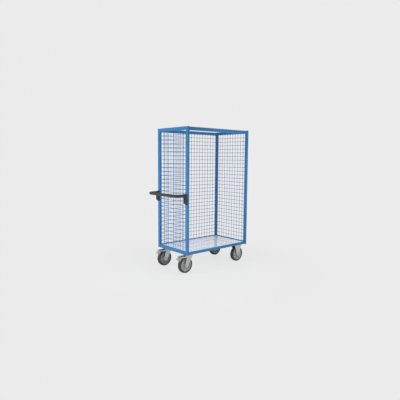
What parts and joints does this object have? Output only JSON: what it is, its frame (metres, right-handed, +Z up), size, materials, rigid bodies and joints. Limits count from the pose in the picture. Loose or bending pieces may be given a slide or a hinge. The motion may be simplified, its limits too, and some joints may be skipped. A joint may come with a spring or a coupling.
{
  "type": "mesh trolley",
  "caption": "Tall mesh-sided trolley with an open front and top, a sheet deck, a push handle on one end, fixed casters and braked swivel casters.",
  "frame": {"origin": "on the floor, under the middle of the whole object's box, with the swivel forks trailing towards the handle", "axes": "+Z up; X along the trolley with the push handle at -X; the open loading side faces -Y"},
  "size_m": [1.2074, 0.615, 1.769],
  "materials": {
    "blue_paint": "powder-coated steel tube and wire, satin",
    "deck_sheet": "pale grey stove enamel on sheet steel, soft gloss",
    "handle_tube": "dark grey powder coat",
    "handle_bracket": "moulded black plastic, fine grain",
    "black_steel": "blackened socket-head screws",
    "zinc_plate": "zinc-plated pressed steel",
    "tyre_rubber": "solid dark grey rubber, matt",
    "wheel_rim": "moulded mid-grey plastic rim"
  },
  "bodies": {
    "chassis": {"back_bottom_rail": "blue_paint", "back_handle_bracket": "handle_bracket", "back_mesh": "blue_paint", "back_top_rail": "blue_paint", "caster_bolts": "zinc_plate", "caster_nuts": "zinc_plate", "deck_sheet": "deck_sheet", "deck_stiffener": "blue_paint", "far_end_back_post": "blue_paint", "far_end_bottom_rail": "blue_paint", "far_end_front_post": "blue_paint", "far_end_inner_bearer": "blue_paint", "far_end_mesh": "blue_paint", "far_end_outer_bearer": "blue_paint", "far_end_top_rail": "blue_paint", "fixed_back_axle": "zinc_plate", "fixed_back_fork": "zinc_plate", "fixed_back_plate": "zinc_plate", "fixed_front_axle": "zinc_plate", "fixed_front_fork": "zinc_plate", "fixed_front_plate": "zinc_plate", "front_bottom_rail": "blue_paint", "front_handle_bracket": "handle_bracket", "front_top_rail": "blue_paint", "handle_end_back_post": "blue_paint", "handle_end_bottom_rail": "blue_paint", "handle_end_front_post": "blue_paint", "handle_end_inner_bearer": "blue_paint", "handle_end_mesh": "blue_paint", "handle_end_outer_bearer": "blue_paint", "handle_end_top_rail": "blue_paint", "handle_screws": "black_steel", "push_handle": "handle_tube", "swivel_back_king_pin": "zinc_plate", "swivel_back_plate": "zinc_plate", "swivel_front_king_pin": "zinc_plate", "swivel_front_plate": "zinc_plate"},
    "front_swivel_fork": {"swivel_front_fork": "zinc_plate", "swivel_front_ball_ring": "zinc_plate", "swivel_front_axle": "zinc_plate", "swivel_front_brake_pin": "zinc_plate"},
    "front_swivel_wheel": {"swivel_front_tyre": "tyre_rubber", "swivel_front_rim": "wheel_rim", "swivel_front_roller_cage": "zinc_plate"},
    "front_brake_pedal": {"swivel_front_brake_pedal": "zinc_plate"},
    "front_fixed_wheel": {"fixed_front_tyre": "tyre_rubber", "fixed_front_rim": "wheel_rim", "fixed_front_roller_cage": "zinc_plate"},
    "back_swivel_fork": {"swivel_back_fork": "zinc_plate", "swivel_back_ball_ring": "zinc_plate", "swivel_back_axle": "zinc_plate", "swivel_back_brake_pin": "zinc_plate"},
    "back_swivel_wheel": {"swivel_back_tyre": "tyre_rubber", "swivel_back_rim": "wheel_rim", "swivel_back_roller_cage": "zinc_plate"},
    "back_brake_pedal": {"swivel_back_brake_pedal": "zinc_plate"},
    "back_fixed_wheel": {"fixed_back_tyre": "tyre_rubber", "fixed_back_rim": "wheel_rim", "fixed_back_roller_cage": "zinc_plate"}
  },
  "joints": [
    {"name": "front_swivel", "type": "hinge", "parent": "chassis", "child": "front_swivel_fork", "pos_m": [-0.332, -0.217, 0.232], "axis": [0, 0, 1], "continuous": true},
    {"name": "front_swivel_wheel_spin", "type": "hinge", "parent": "front_swivel_fork", "child": "front_swivel_wheel", "pos_m": [-0.396, -0.217, 0.1], "axis": [0, 1, 0], "continuous": true},
    {"name": "front_brake", "type": "hinge", "parent": "front_swivel_fork", "child": "front_brake_pedal", "pos_m": [-0.4685, -0.217, 0.20549], "axis": [0, -1, 0], "range_deg": [0, 13]},
    {"name": "front_fixed_wheel_spin", "type": "hinge", "parent": "chassis", "child": "front_fixed_wheel", "pos_m": [0.504, -0.217, 0.1], "axis": [0, 1, 0], "continuous": true},
    {"name": "back_swivel", "type": "hinge", "parent": "chassis", "child": "back_swivel_fork", "pos_m": [-0.332, 0.217, 0.232], "axis": [0, 0, 1], "continuous": true},
    {"name": "back_swivel_wheel_spin", "type": "hinge", "parent": "back_swivel_fork", "child": "back_swivel_wheel", "pos_m": [-0.396, 0.217, 0.1], "axis": [0, 1, 0], "continuous": true},
    {"name": "back_brake", "type": "hinge", "parent": "back_swivel_fork", "child": "back_brake_pedal", "pos_m": [-0.4685, 0.217, 0.20549], "axis": [0, -1, 0], "range_deg": [0, 13]},
    {"name": "back_fixed_wheel_spin", "type": "hinge", "parent": "chassis", "child": "back_fixed_wheel", "pos_m": [0.504, 0.217, 0.1], "axis": [0, 1, 0], "continuous": true}
  ]
}
